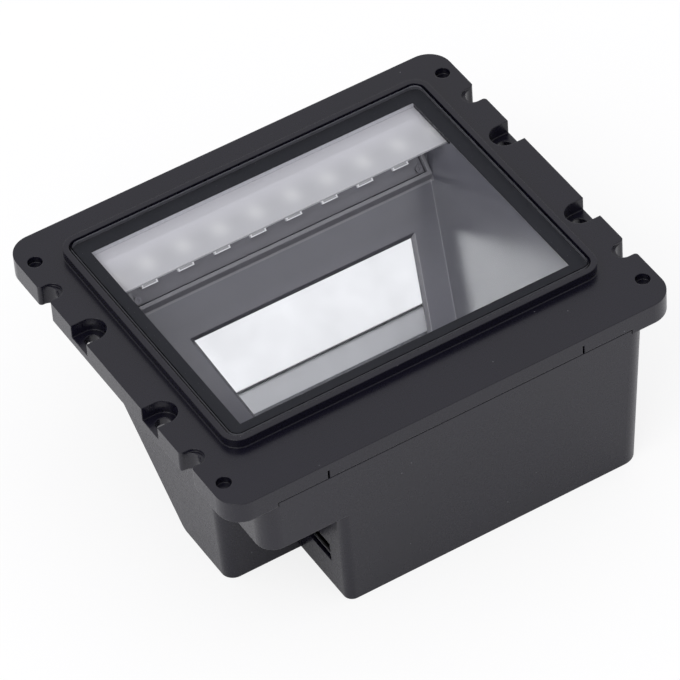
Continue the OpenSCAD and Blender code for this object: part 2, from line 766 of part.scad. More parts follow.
module lens_barrel() {
    color([0.04, 0.04, 0.045]) raised() difference() {
        union() {
            rod_y(0, lens_z, lens_r, cam_face + barrel_in, cam_face + holder_d + barrel_l);
            rod_y(0, lens_z, lens_r + 0.8, cam_face + holder_d, cam_face + holder_d + barrel_l);
        }
        rod_y(0, lens_z, lens_r - 1.3, cam_y, cam_face + big);
        rod_y(0, lens_z, lens_r - 0.6, cam_face + holder_d + barrel_l - 1.3, cam_face + big);
        rod_y(0, lens_z, lens_r - 0.6, cam_y, cam_face + barrel_in + 1.1);
    }
}

// Front and rear lens, each seated on a shoulder inside the barrel
module lens_elements() {
    color([0.3, 0.35, 0.5, 0.5]) raised() {
        rod_y(0, lens_z, lens_r - 0.9, cam_face + holder_d + barrel_l - 1.3,
            cam_face + holder_d + barrel_l - 0.4);
        rod_y(0, lens_z, lens_r - 0.9, cam_face + barrel_in + 0.2, cam_face + barrel_in + 1.1);
    }
}

module camera_screws() {
    color([0.5, 0.5, 0.52]) raised() for (s = [-1, 1])
        translate([s * cam_screw_x, cam_face, cam_screw_z]) rotate([-90, 0, 0])
            pan_screw(board_screw_r, board_screw_l, board_head_r, board_head_t);
}

// Connector in the corner between the camera board and the main board
module camera_socket() {
    color([0.8, 0.78, 0.7]) raised() block([-lens_r, cam_y - board_t, board_top], [lens_r, cam_y,
        cam_low + 2 * board_t]);
}

module main_board() {
    color([0.05, 0.25, 0.12]) raised() difference() {
        block([board_left, board_front, board_z], [board_right, board_rear, board_top]);
        for (p = board_spots) translate([p[0], p[1], -big]) cylinder(r = board_screw_r + clear, h = big);
    }
}

module decoder_chip() {
    color([0.04, 0.04, 0.045]) raised() block([chip_x - chip_w / 2, chip_y - chip_w / 2, board_top],
        [chip_x + chip_w / 2, chip_y + chip_w / 2, board_top + 1]);
}

module memory_chip() {
    color([0.04, 0.04, 0.045]) raised() block([memory_x - memory_w / 2, chip_y - memory_d / 2,
        board_z - 0.9],
        [memory_x + memory_w / 2, chip_y + memory_d / 2, board_z]);
}

module port_shell() {
    color([0.7, 0.7, 0.72]) raised() translate([port_x, port_y, board_top]) difference() {
        block([0, -port_w / 2, 0], [port_l, port_w / 2, port_h]);
        block([-1, -port_w / 2 + 0.35, 0.35], [port_l - 0.8, port_w / 2 - 0.35, port_h - 0.35]);
    }
}

module port_tongue() {
    color([0.03, 0.03, 0.03]) raised() translate([port_x, port_y, board_top])
        block([0.7, -port_w / 2 + 1.5, port_h / 2 - 0.35], [port_l - 0.8, port_w / 2 - 1.5,
            port_h / 2 + 0.35]);
}

module board_screws() {
    color([0.5, 0.5, 0.52]) raised() for (p = board_spots)
        translate([p[0], p[1], board_top]) pan_screw(board_screw_r, board_screw_l, board_head_r,
            board_head_t);
}

module cover_screws() {
    color([0.35, 0.35, 0.37]) raised() for (p = case_spots)
        translate([p[0], p[1], case_seat]) rotate([180, 0, 0])
            pan_screw(case_screw_r, case_screw_l, case_head_r, case_head_t);
}

top_cover();
window_glass();
window_tape();
lower_housing();
light_hood();
fold_mirror();
mirror_tape();
diffuser_sheet();
led_board();
leds();
led_screws();
led_flex();
camera_board();
image_sensor();
lens_holder();
lens_barrel();
lens_elements();
camera_screws();
camera_socket();
main_board();
decoder_chip();
memory_chip();
flex_socket();
port_shell();
port_tongue();
board_screws();
cover_screws();
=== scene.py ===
"""Looks of a fixed barcode reader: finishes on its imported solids, small visual pieces and a studio stage."""

import math

import bmesh
import bpy
from mathutils import Matrix, Vector


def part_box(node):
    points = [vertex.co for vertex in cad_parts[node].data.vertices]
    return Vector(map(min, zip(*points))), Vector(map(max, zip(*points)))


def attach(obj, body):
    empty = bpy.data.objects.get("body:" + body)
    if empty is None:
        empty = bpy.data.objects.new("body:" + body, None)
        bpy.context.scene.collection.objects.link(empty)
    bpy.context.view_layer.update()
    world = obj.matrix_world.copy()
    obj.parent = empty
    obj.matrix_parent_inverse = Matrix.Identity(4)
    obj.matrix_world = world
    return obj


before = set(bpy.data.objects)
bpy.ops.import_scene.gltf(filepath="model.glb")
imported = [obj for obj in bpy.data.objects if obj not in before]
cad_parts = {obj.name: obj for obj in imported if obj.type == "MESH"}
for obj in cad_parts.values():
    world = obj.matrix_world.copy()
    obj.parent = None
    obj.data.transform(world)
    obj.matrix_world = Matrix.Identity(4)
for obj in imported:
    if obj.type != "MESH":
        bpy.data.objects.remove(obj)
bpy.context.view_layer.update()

bl_info = {
    "name": "Fixed Barcode Reader",
    "version": (1, 0, 0),
    "blender": (4, 5, 0),
    "location": "View3D > Sidebar > Reader",
    "description": "Dresses the packed solids of a fixed barcode reader and sets its studio stage",
    "category": "Object",
}

MM = 0.001
BODY = "root"

# Layout of the node trees: rows in the order of making
NODES_PER_ROW = 10
NODE_STEP = Vector((220.0, -320.0))

# Full span of a mask or a noise
WHOLE = (0.0, 1.0)

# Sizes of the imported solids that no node's box gives
GLASS_RADIUS = 1.6 * MM
BORDER_WIDTH = 2.6 * MM
LEDGE_BACK = 0.2 * MM
CHIP_COUNT = 8
CHIP_WIDTH = 2.8 * MM
CHIP_LENGTH = 5.4 * MM
CHIP_HALF_HEIGHT = 0.3 * MM

# Painted bands on the glass, the border, the ledge and the port: painted shade along the glass's edge and inside the
# port, a painted highlight on the glass's ground side and painted light on the ledge's shaded edge
GLASS_EDGE = 0.17 * MM
GLASS_TOP = 0.05 * MM
GLASS_RIM = 0.4 * MM
GLASS_SIDE_INSET = 0.02 * MM
BORDER_UNDER = 0.03 * MM
LEDGE_REACH = 0.05 * MM
PORT_MOUTH = 0.25 * MM

# Displacement that keeps the border clear of the glass in the render
BORDER_CLEARANCE = 0.01 * MM

# Soft edges of the painted bands
SHARP = 0.005 * MM
CRISP = 0.01 * MM
PANEL_SOFT = 0.02 * MM
HOOD_SOFT = 0.03 * MM
WALL_SOFT = 0.05 * MM
MOUTH_SOFT = 0.1 * MM

# Hood: reach of the pale front wall from the hood's front, and of the painted light on the shaded rear wall from the
# diffuser's rear edge
FRONT_WALL_REACH = 1.75 * MM
REAR_WALL_REACH = 0.5 * MM
# Hood: depths in front of the upper rear corner of the mirror's box, measured as y - z
PANEL_BACK = 1.28 * MM
PANEL_FRONT = 1.6 * MM
FRAME_BACK = 1.33 * MM
FRAME_FRONT = 2.45 * MM
# Hood: from the low corner of the light board's box to about its foot, measured as y + z
FOOT_LIFT = 0.4 * MM
# Hood: distances down or up the sloped panel from that foot, measured as y + z
RECESS_TOP = 2.5 * MM
FRAME_DROP = 2.4 * MM
FRAME_RISE = 14.0 * MM
# Hood: the painted light on the panel's foot starts this far below the foot and is full at the next distance
PANEL_PALE_FROM = 8.0 * MM
PANEL_PALE_FULL = 38.0 * MM
# Hood: reach of the frame's painted light past each end of the light board
FRAME_SIDE = 0.65 * MM

# Diffuser: row of painted light spots from its front edge, and reach of the painted light along the rear
SPOT_ROW = 3.65 * MM
REAR_FADE = 5.5 * MM

# Windows in the light chips, as shares of a chip and real heights
CHIP_WINDOW_WIDE = 0.8
CHIP_WINDOW_LONG = 0.93
CHIP_WINDOW_HEIGHT = 0.06 * MM
CHIP_WINDOW_LIFT = 0.01 * MM
CHIP_WINDOW_BEVEL = 0.02 * MM

# Window sheen: where it starts between facing and grazing, and its full share
SHEEN_FROM = 0.45
SHEEN_FULL = 0.6

# Grain of mouldings: a coarse noise and wide clouds next to the fine noise
NOISE_MIDDLE = 0.5
COARSE_SCALE = 0.22
COARSE_HEIGHT = 0.8
CLOUD_SCALE = 55.0
CLOUD_SWING = 2.0
GRAIN_DEPTH = 0.02 * MM
BEVEL_SAMPLES = 6

# Drawn lines of metal
LINE_TONE = 0.3
LINE_DARKEST = 0.85
LINE_ROUGHNESS = 0.2
LINE_STRENGTH = 0.08
LINE_DEPTH = 0.01 * MM
TURNED = (6000.0, 6000.0, 6000.0)
PORT_DRAWN = (500.0, 8000.0, 8000.0)

# Haze and clouds of the mirror and the lens, as noise scales and spans
MIRROR_HAZE_SCALE = 300.0
MIRROR_HAZE = (0.01, 0.05)
MIRROR_CLOUD_SCALE = 110.0
MIRROR_CLOUD_SPAN = (0.3, 0.7)
MIRROR_TONES = (0.88, 1.0)
LENS_COLOUR = (0.85, 0.88, 0.95)
LENS_TINT_SCALE = 400.0
LENS_TONES = (0.95, 1.0)

# Angle of the sloped panel that carries the light board
PANEL_ANGLE = math.radians(45)

# Plain mouldings inside the reader
PLAIN_MOULDINGS = {
    "light_board_mask": dict(
        colour=(0.155, 0.155, 0.172), roughness=0.4, scale=5000.0, tone=0.12, spread=0.1, strength=0.06),
    "light_chip_white": dict(
        colour=(0.9, 0.9, 0.91), roughness=0.35, scale=9000.0, tone=0.05, spread=0.08, strength=0.05),
    "flex_amber_film": dict(
        colour=(0.42, 0.22, 0.05), roughness=0.3, scale=5000.0, tone=0.15, spread=0.08, strength=0.05),
    "light_chip_phosphor": dict(
        colour=(0.45, 0.45, 0.46), roughness=0.25, scale=12000.0, tone=0.06, spread=0.05, strength=0.05),
    "board_green_mask": dict(
        colour=(0.02, 0.13, 0.055), roughness=0.35, scale=4000.0, tone=0.2, spread=0.1, strength=0.08),
    "chip_black_package": dict(
        colour=(0.02, 0.02, 0.022), roughness=0.5, scale=9000.0, tone=0.15, spread=0.08, strength=0.1),
    "lens_matt_black": dict(
        colour=(0.014, 0.014, 0.016), roughness=0.55, scale=9000.0, tone=0.15, spread=0.08, strength=0.1),
    "socket_ivory": dict(
        colour=(0.7, 0.66, 0.55), roughness=0.45, scale=7000.0, tone=0.1, spread=0.08, strength=0.08),
}

# Floor and lamp
FLOOR_HALF = 6.0
FLOOR_DROP = 0.05 * MM
LAMP_SIZE = (0.6, 0.5)
LAMP_AIM = Vector((0.0, 0.0, 0.02))
LAMP_TOWARD = Vector((-0.6, -0.3, 0.74))
LAMP_DISTANCE = 0.9

# Camera: place and axes fitted to the photograph
CAMERA_EYE = Vector((-0.28670, -0.52227, 0.61787))
CAMERA_RIGHT = Vector((0.84828, -0.52681, -0.05379))
CAMERA_UP = Vector((0.40713, 0.58385, 0.70240))
CAMERA_BACK = Vector((-0.33862, -0.61773, 0.70975))
CAMERA_SENSOR = 36.0
CAMERA_FAR = 20.0


# Node helpers

def add_node(tree, kind, **values):
    """Adds a shader node in the next free place and sets its plain properties."""
    row, column = divmod(len(tree.nodes), NODES_PER_ROW)
    node = tree.nodes.new(kind)
    node.location = (column * NODE_STEP.x, row * NODE_STEP.y)
    for name, value in values.items():
        setattr(node, name, value)
    return node


def feed(tree, socket, value):
    """Links a socket into an input, or sets the input to a number or a colour."""
    if isinstance(value, bpy.types.NodeSocket):
        tree.links.new(value, socket)
    elif isinstance(value, (int, float)):
        socket.default_value = value
    else:
        socket.default_value = (*value, 1.0)


def feed_all(tree, node, **values):
    """Feeds the inputs of a node by name, with a low line for a blank in the name."""
    for name, value in values.items():
        feed(tree, node.inputs[name.replace("_", " ")], value)


def object_coords(tree):
    """Coordinates of the shading point in the part's frame."""
    return add_node(tree, "ShaderNodeTexCoord").outputs["Object"]


def object_axes(tree):
    """X, Y and Z of the shading point in the part's frame."""
    parts = add_node(tree, "ShaderNodeSeparateXYZ")
    tree.links.new(object_coords(tree), parts.inputs[0])
    return parts.outputs


def math_node(tree, operation, first, second=None):
    """Adds a Math node; an argument is a socket or a number."""
    node = add_node(tree, "ShaderNodeMath", operation=operation)
    feed(tree, node.inputs[0], first)
    if second is not None:
        feed(tree, node.inputs[1], second)
    return node.outputs[0]


def noise_node(tree, scale, detail, rough, vector):
    """Adds a Noise Texture; scale is a socket or a number."""
    node = add_node(tree, "ShaderNodeTexNoise")
    feed_all(tree, node, Scale=scale, Detail=detail, Roughness=rough, Vector=vector)
    return node.outputs["Fac"]


def map_range(tree, value, before, after, smooth=False):
    """Maps a value from one span to another and keeps it inside."""
    node = add_node(tree, "ShaderNodeMapRange", interpolation_type="SMOOTHSTEP" if smooth else "LINEAR")
    feed_all(tree, node, Value=value, From_Min=before[0], From_Max=before[1], To_Min=after[0], To_Max=after[1])
    return node.outputs[0]


def above(tree, value, edge, soft):
    """1 where a value is past an edge."""
    return map_range(tree, value, (edge - soft, edge + soft), WHOLE, smooth=True)


def below(tree, value, edge, soft):
    """1 where a value is short of an edge."""
    return map_range(tree, value, (edge - soft, edge + soft), (1.0, 0.0), smooth=True)


def product(tree, first, *others):
    """Multiplies values; the first is a socket, the others are sockets or numbers."""
    for other in others:
        first = math_node(tree, "MULTIPLY", first, other)
    return first


def between(tree, value, low, high, soft):
    """1 where a value lies between two edges."""
    return product(tree, above(tree, value, low, soft), below(tree, value, high, soft))


def painted(tree, base, mask, colour):
    """Lays a plain colour over a plain or linked base colour where the mask is 1."""
    mix = add_node(tree, "ShaderNodeMix", data_type="RGBA")
    for index, value in ((0, mask), (6, base), (7, colour)):
        feed(tree, mix.inputs[index], value)
    return mix.outputs[2]


def toned(tree, colour, tone):
    """Multiplies a plain or linked colour by a tone factor."""
    mix = add_node(tree, "ShaderNodeMix", data_type="RGBA", blend_type="MULTIPLY")
    for index, value in ((0, 1.0), (6, colour), (7, tone)):
        feed(tree, mix.inputs[index], value)
    return mix.outputs[2]


def mixed_shader(tree, share, first, second):
    """Mixes two shaders."""
    mix = add_node(tree, "ShaderNodeMixShader")
    for socket, value in zip(mix.inputs, (share, first, second)):
        tree.links.new(value, socket)
    return mix.outputs[0]


def node_of(tree, kind):
    """The one node of a kind in a tree."""
    return next(node for node in tree.nodes if node.type == kind)


def surface(tree, shader):
    """Makes a shader the surface of the material."""
    tree.links.new(shader, node_of(tree, "OUTPUT_MATERIAL").inputs["Surface"])


# Shader node groups

def node_group(name, inputs, outputs, fill):
    """Returns a group of float sockets, built by fill(tree, inputs) on first use. An input is (name, default)."""
    if name in bpy.data.node_groups:
        return bpy.data.node_groups[name]
    tree = bpy.data.node_groups.new(name, "ShaderNodeTree")
    for label, default in inputs:
        socket = tree.interface.new_socket(name=label, in_out="INPUT", socket_type="NodeSocketFloat")
        socket.default_value = default
    for label in outputs:
        tree.interface.new_socket(name=label, in_out="OUTPUT", socket_type="NodeSocketFloat")
    start = add_node(tree, "NodeGroupInput")
    end = add_node(tree, "NodeGroupOutput")
    for label, value in zip(outputs, fill(tree, start.outputs)):
        tree.links.new(value, end.inputs[label])
    return tree


def placed_group(tree, group, **values):
    """Places a node group in a material with its own values."""
    node = add_node(tree, "ShaderNodeGroup", node_tree=group)
    feed_all(tree, node, **values)
    return node.outputs


def moulded_grain():
    """Fine spark-eroded grain of a moulding: a tone factor, a roughness and a bump height."""
    def fill(tree, start):
        coords = object_coords(tree)
        fine = noise_node(tree, start["Scale"], detail=2.0, rough=0.6, vector=coords)
        wider = product(tree, start["Scale"], COARSE_SCALE)
        coarse = noise_node(tree, wider, detail=2.0, rough=0.5, vector=coords)
        cloud = noise_node(tree, CLOUD_SCALE, detail=3.0, rough=0.55, vector=coords)
        height = math_node(tree, "ADD", fine, product(tree, coarse, COARSE_HEIGHT))
        clouded = math_node(tree, "SUBTRACT", cloud, NOISE_MIDDLE)
        grained = math_node(tree, "SUBTRACT", coarse, NOISE_MIDDLE)
        tone = math_node(tree, "ADD", product(tree, clouded, start["Tone spread"], CLOUD_SWING), 1.0)
        both = math_node(tree, "ADD", grained, clouded)
        rough = math_node(tree, "ADD", start["Roughness"], product(tree, both, start["Roughness spread"]))
        return tone, rough, height

    inputs = [("Scale", 7000.0), ("Tone spread", 0.1), ("Roughness", 0.45), ("Roughness spread", 0.08)]
    return node_group("Moulded grain", inputs, ["Tone", "Roughness", "Height"], fill)


def dust_specks():
    """Few tiny specks of dust spread over a surface, 1 on a speck."""
    def fill(tree, start):
        cells = add_node(tree, "ShaderNodeTexVoronoi")
        feed_all(tree, cells, Vector=object_coords(tree), Scale=start["Scale"])
        reach = product(tree, start["Scale"], start["Radius"])
        return (math_node(tree, "LESS_THAN", cells.outputs["Distance"], reach),)

    return node_group("Dust specks", [("Scale", 250.0), ("Radius", 0.1 * MM)], ["Speck"], fill)


def brushed_lines():
    """Drawn lines of plated sheet and turned steel: a tone factor, a roughness and a height."""
    def fill(tree, start):
        stretch = add_node(tree, "ShaderNodeCombineXYZ")
        for label in ("X", "Y", "Z"):
            tree.links.new(start["Along " + label], stretch.inputs[label])
        scaled = add_node(tree, "ShaderNodeVectorMath", operation="MULTIPLY")
        tree.links.new(object_coords(tree), scaled.inputs[0])
        tree.links.new(stretch.outputs[0], scaled.inputs[1])
        lines = noise_node(tree, 1.0, detail=3.0, rough=0.6, vector=scaled.outputs[0])
        tone = math_node(tree, "ADD", product(tree, lines, LINE_TONE), LINE_DARKEST)
        rough = math_node(tree, "ADD", product(tree, lines, LINE_ROUGHNESS), start["Roughness"])
        return tone, rough, lines

    inputs = [("Along X", 400.0), ("Along Y", 9000.0), ("Along Z", 9000.0), ("Roughness", 0.3)]
    return node_group("Brushed lines", inputs, ["Tone", "Roughness", "Height"], fill)


def painted_light_spots():
    """Row of soft round spots of painted light over evenly spaced light chips, 1 in the middle of a spot."""
    def fill(tree, start):
        axes = object_axes(tree)
        steps = math_node(tree, "DIVIDE", math_node(tree, "SUBTRACT", axes["X"], start["First"]), start["Pitch"])
        aside = math_node(tree, "SUBTRACT", steps, math_node(tree, "ROUND", steps))
        across = math_node(tree, "DIVIDE", product(tree, aside, start["Pitch"]), start["Half width"])
        along = math_node(tree, "DIVIDE", math_node(tree, "SUBTRACT", axes["Y"], start["Row"]), start["Half length"])
        away = math_node(tree, "ADD", product(tree, across, across), product(tree, along, along))
        return (math_node(tree, "EXPONENT", math_node(tree, "MULTIPLY", away, -1.0)),)

    inputs = [("First", 0.0), ("Pitch", 6.5 * MM), ("Row", 20 * MM), ("Half width", 1.5 * MM),
              ("Half length", 1.9 * MM)]
    return node_group("Painted light spots", inputs, ["Spot"], fill)


def edge_line():
    """Line just inside the edge of a rectangle with round corners, 1 on the line."""
    def fill(tree, start):
        axes = object_axes(tree)
        squares = []
        for label in ("X", "Y"):
            away = math_node(tree, "ABSOLUTE", math_node(tree, "SUBTRACT", axes[label], start["Middle " + label]))
            straight = math_node(tree, "SUBTRACT", start["Half " + label], start["Radius"])
            over = math_node(tree, "MAXIMUM", math_node(tree, "SUBTRACT", away, straight), 0.0)
            squares.append(product(tree, over, over))
        reach = math_node(tree, "SQRT", math_node(tree, "ADD", *squares))
        inner = math_node(tree, "SUBTRACT", start["Radius"], start["Width"])
        return (math_node(tree, "GREATER_THAN", reach, inner),)

    inputs = [("Middle X", 0.0), ("Middle Y", 0.0), ("Half X", 20 * MM), ("Half Y", 20 * MM), ("Radius", 2 * MM),
              ("Width", 0.2 * MM)]
    return node_group("Edge line", inputs, ["Line"], fill)


# Kinds of finish

def new_material(name, colour):
    """Starts a material and returns it with its tree and its Principled shader."""
    material = bpy.data.materials.new(name)
    material.use_nodes = True
    material.diffuse_color = (*colour, 1.0)
    tree = material.node_tree
    shader = node_of(tree, "BSDF_PRINCIPLED")
    feed_all(tree, shader, Base_Color=colour)
    return material, tree, shader


def base_colour(shader):
    """The socket that feeds the shader's base colour."""
    return shader.inputs["Base Color"].links[0].from_socket


def bump(tree, shader, height, strength, distance, edge=0.0):
    """Feeds a height into the shader's normal, with softened edges where a radius is given."""
    node = add_node(tree, "ShaderNodeBump")
    feed_all(tree, node, Strength=strength, Distance=distance, Height=height)
    if edge > 0.0:
        soft = add_node(tree, "ShaderNodeBevel", samples=BEVEL_SAMPLES)
        feed_all(tree, soft, Radius=edge)
        tree.links.new(soft.outputs["Normal"], node.inputs["Normal"])
    tree.links.new(node.outputs["Normal"], shader.inputs["Normal"])


def moulded(name, colour, roughness, scale, tone, spread, strength, ior=1.5, edge=0.0):
    """Moulded plastic with a fine grain."""
    material, tree, shader = new_material(name, colour)
    grain = placed_group(tree, moulded_grain(), Scale=scale, Tone_spread=tone, Roughness=roughness,
                         Roughness_spread=spread)
    feed_all(tree, shader, Base_Color=toned(tree, colour, grain["Tone"]), Roughness=grain["Roughness"], IOR=ior)
    bump(tree, shader, grain["Height"], strength, GRAIN_DEPTH, edge)
    return material, tree, shader


def plain_moulding(name):
    """One of the plain mouldings by its name."""
    return moulded(name, **PLAIN_MOULDINGS[name])[0]


def brushed(name, colour, roughness, along):
    """Plated or turned metal with drawn lines, along gives their scale on each axis."""
    material, tree, shader = new_material(name, colour)
    lines = placed_group(tree, brushed_lines(), Along_X=along[0], Along_Y=along[1], Along_Z=along[2],
                         Roughness=roughness)
    feed_all(tree, shader, Base_Color=toned(tree, colour, lines["Tone"]), Roughness=lines["Roughness"], Metallic=1.0)
    bump(tree, shader, lines["Height"], LINE_STRENGTH, LINE_DEPTH)
    return material, tree, shader


def let_through(tree, shader, colour, share):
    """Lets a share of the lamp light and soft light pass straight through a clear or milky piece."""
    clear = add_node(tree, "ShaderNodeBsdfTransparent")
    feed_all(tree, clear, Color=colour)
    path = add_node(tree, "ShaderNodeLightPath")
    light = math_node(tree, "MAXIMUM", path.outputs["Is Shadow Ray"], path.outputs["Is Diffuse Ray"])
    surface(tree, mixed_shader(tree, math_node(tree, "MULTIPLY", light, share), shader, clear.outputs[0]))


# Finishes of this object

def case_finish(props):
    """Near black moulding with a few specks of dust, and painted light on the shaded edge of the ledge over the
    diffuser.
    """
    material, tree, shader = moulded("case_black_moulding", props.case_colour, props.case_roughness, scale=6500.0,
                                     tone=0.25, spread=0.1, strength=0.1, ior=1.45, edge=0.25 * MM)
    specks = placed_group(tree, dust_specks())
    dusty = painted(tree, base_colour(shader), specks["Speck"], props.dust_colour)
    axes = object_axes(tree)
    low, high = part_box("window_tape")
    film_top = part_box("diffuser_sheet")[1].z
    # Painted light: the ledge's edge over the diffuser is painted pale where it lies in shade
    edge = high.y - BORDER_WIDTH + LEDGE_BACK
    ledge = product(tree, between(tree, axes["Y"], edge - LEDGE_REACH, edge + LEDGE_REACH, CRISP),
                    between(tree, axes["Z"], film_top, low.z, CRISP),
                    between(tree, axes["X"], low.x, high.x, CRISP))
    feed_all(tree, shader, Base_Color=painted(tree, dusty, ledge, props.ledge_painted_light_colour))
    return material


def hood_finish(props):
    """Satin grey moulding: a pale front wall, painted light over the shade on the rear wall, the board frame and the
    panel foot, and plain cut edges behind the panel.
    """
    material, tree, shader = moulded("hood_satin_grey", props.hood_colour, props.hood_roughness, scale=5200.0,
                                     tone=0.14, spread=0.06, strength=0.0, ior=1.8, edge=0.2 * MM)
    axes = object_axes(tree)
    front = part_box("light_hood")[0].y + FRONT_WALL_REACH
    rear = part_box("diffuser_sheet")[1].y - REAR_WALL_REACH
    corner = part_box("fold_mirror")[1]
    level = corner.y - corner.z
    board_low, board_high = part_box("led_board")
    foot = board_low.y + board_low.z + FOOT_LIFT
    depth = math_node(tree, "SUBTRACT", axes["Y"], axes["Z"])
    rise = math_node(tree, "ADD", axes["Y"], axes["Z"])
    # Pale front wall, and painted light over the rear wall where it lies in shade behind the diffuser
    walls = math_node(tree, "ADD", below(tree, axes["Y"], front, WALL_SOFT), above(tree, axes["Y"], rear, WALL_SOFT))
    # Painted light on the frame round the light board: its top and its shaded lower face are painted paler
    frame_light_mask = product(
        tree, between(tree, rise, foot - FRAME_DROP, foot + FRAME_RISE, HOOD_SOFT),
        between(tree, depth, level - FRAME_FRONT, level - FRAME_BACK, HOOD_SOFT),
        between(tree, axes["X"], board_low.x - FRAME_SIDE, board_high.x + FRAME_SIDE, HOOD_SOFT))
    # Painted light on the foot of the sloped panel, stronger further down, over the shade that gathers there
    panel_foot_light = product(
        tree, between(tree, depth, level - PANEL_FRONT, level - PANEL_BACK, PANEL_SOFT),
        map_range(tree, rise, (foot - PANEL_PALE_FULL, foot - PANEL_PALE_FROM), (1.0, 0.0)))
    recess = product(tree, above(tree, depth, level - PANEL_BACK, HOOD_SOFT),
                     below(tree, rise, foot - RECESS_TOP, HOOD_SOFT))
    colour = base_colour(shader)
    for mask, paint in ((walls, props.wall_and_painted_light_colour), (frame_light_mask, props.frame_painted_light_colour),
                        (panel_foot_light, props.foot_painted_light_colour), (recess, props.recess_colour)):
        colour = painted(tree, colour, mask, paint)
    feed_all(tree, shader, Base_Color=colour)
    return material


def window_finish(props):
    """Polished window glass with painted shade of the gap along its edge, ground sides with a painted highlight on
    their upper part, and a sheen at flat angles.
    """
    material, tree, shader = new_material("window_polished_glass", props.glass_colour)
    low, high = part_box("window_glass")
    middle, half = (low + high) / 2, (high - low) / 2
    # Painted shade: a black line on the glass's top along its edge stands for the shaded gap beside the rim
    ring = placed_group(tree, edge_line(), Middle_X=middle.x, Middle_Y=middle.y, Half_X=half.x, Half_Y=half.y,
                        Radius=GLASS_RADIUS, Width=GLASS_EDGE)
    height = object_axes(tree)["Z"]
    line = product(tree, ring["Line"], above(tree, height, high.z - GLASS_TOP, CRISP))
    feed_all(tree, shader, Base_Color=painted(tree, props.glass_colour, line, props.glass_edge_shade_colour),
             Transmission_Weight=1.0, IOR=props.glass_ior, Roughness=0.0)
    sheen = add_node(tree, "ShaderNodeBsdfAnisotropic")
    feed_all(tree, sheen, Roughness=0.0)
    facing = add_node(tree, "ShaderNodeLayerWeight").outputs["Facing"]
    slant = map_range(tree, facing, (SHEEN_FROM, 1.0), (0.0, SHEEN_FULL), smooth=True)
    coated = mixed_shader(tree, slant, shader.outputs[0], sheen.outputs[0])
    side = between(tree, height, low.z + GLASS_SIDE_INSET, high.z - GLASS_SIDE_INSET, SHARP)
    # Painted highlight along the upper part of the ground side
    upper = above(tree, height, high.z - GLASS_RIM, WALL_SOFT)
    ground = add_node(tree, "ShaderNodeBsdfDiffuse")
    feed_all(tree, ground, Color=painted(tree, props.glass_side_colour, upper, props.glass_rim_highlight_colour))
    let_through(tree, mixed_shader(tree, side, coated, ground.outputs[0]), props.glass_colour, 1.0)
    return material


def border_finish(props):
    """Black border under the glass, paler on its underside."""
    material, tree, shader = moulded("border_black_film", props.border_colour, roughness=0.6, scale=9000.0,
                                     tone=0.1, spread=0.06, strength=0.0, ior=1.1)
    under = below(tree, object_axes(tree)["Z"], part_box("window_tape")[0].z + BORDER_UNDER, SHARP)
    feed_all(tree, shader, Base_Color=painted(tree, base_colour(shader), under, props.border_under_colour))
    return material


def mirror_finish(props):
    """Front-silvered glass with a faint haze and soft clouds."""
    material, tree, shader = new_material("mirror_front_silver", props.mirror_colour)
    coords = object_coords(tree)
    haze = noise_node(tree, MIRROR_HAZE_SCALE, detail=4.0, rough=0.6, vector=coords)
    cloud = noise_node(tree, MIRROR_CLOUD_SCALE, detail=2.0, rough=0.5, vector=coords)
    tone = map_range(tree, cloud, MIRROR_CLOUD_SPAN, MIRROR_TONES)
    feed_all(tree, shader, Base_Color=toned(tree, props.mirror_colour, tone),
             Roughness=map_range(tree, haze, WHOLE, MIRROR_HAZE), Metallic=1.0)
    return material


def chip_pitch():
    """Step from one light chip to the next."""
    low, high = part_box("leds")
    return (high.x - low.x - CHIP_WIDTH) / (CHIP_COUNT - 1)


def diffuser_finish(props):
    """Milky film with soft spots of painted light over the light chips, and painted light along the rear border over
    its shade.
    """
    material, tree, shader = new_material("diffuser_milky_film", props.diffuser_colour)
    grain = placed_group(tree, moulded_grain(), Scale=9000.0, Tone_spread=0.03, Roughness=0.42, Roughness_spread=0.05)
    # Painted light: soft glowing spots over each light chip
    spots = placed_group(tree, painted_light_spots(), First=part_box("leds")[0].x + CHIP_WIDTH / 2, Pitch=chip_pitch(),
                         Row=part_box("diffuser_sheet")[0].y + SPOT_ROW)
    glow = painted(tree, props.diffuser_colour, spots["Spot"], props.spot_painted_light_colour)
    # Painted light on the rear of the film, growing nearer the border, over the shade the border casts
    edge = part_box("window_tape")[1].y - BORDER_WIDTH
    rear_light = map_range(tree, object_axes(tree)["Y"], (edge - REAR_FADE, edge), WHOLE)
    milky = painted(tree, glow, rear_light, props.diffuser_rear_painted_light_colour)
    feed_all(tree, shader, Base_Color=toned(tree, milky, grain["Tone"]), Roughness=grain["Roughness"],
             Transmission_Weight=props.diffuser_clear, IOR=1.2)
    let_through(tree, shader.outputs[0], (1.0, 1.0, 1.0), props.diffuser_pass)
    return material


def port_finish(props):
    """Bright tin at the mouth of the port, with painted shade inside it."""
    material, tree, shader = brushed("port_bright_tin", props.port_colour, roughness=0.22, along=PORT_DRAWN)
    # Painted shade: the tin past the port's mouth is painted dark
    inside = above(tree, object_axes(tree)["X"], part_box("port_shell")[0].x + PORT_MOUTH, MOUTH_SOFT)
    feed_all(tree, shader, Base_Color=painted(tree, base_colour(shader), inside, props.port_inside_shade_colour))
    return material


def lens_finish():
    """Coated lens glass with a faint tint."""
    material, tree, shader = new_material("lens_coated_glass", LENS_COLOUR)
    tint = noise_node(tree, LENS_TINT_SCALE, detail=2.0, rough=0.5, vector=object_coords(tree))
    tone = map_range(tree, tint, WHOLE, LENS_TONES)
    feed_all(tree, shader, Base_Color=toned(tree, LENS_COLOUR, tone), Transmission_Weight=1.0, Roughness=0.0, IOR=1.6)
    return material


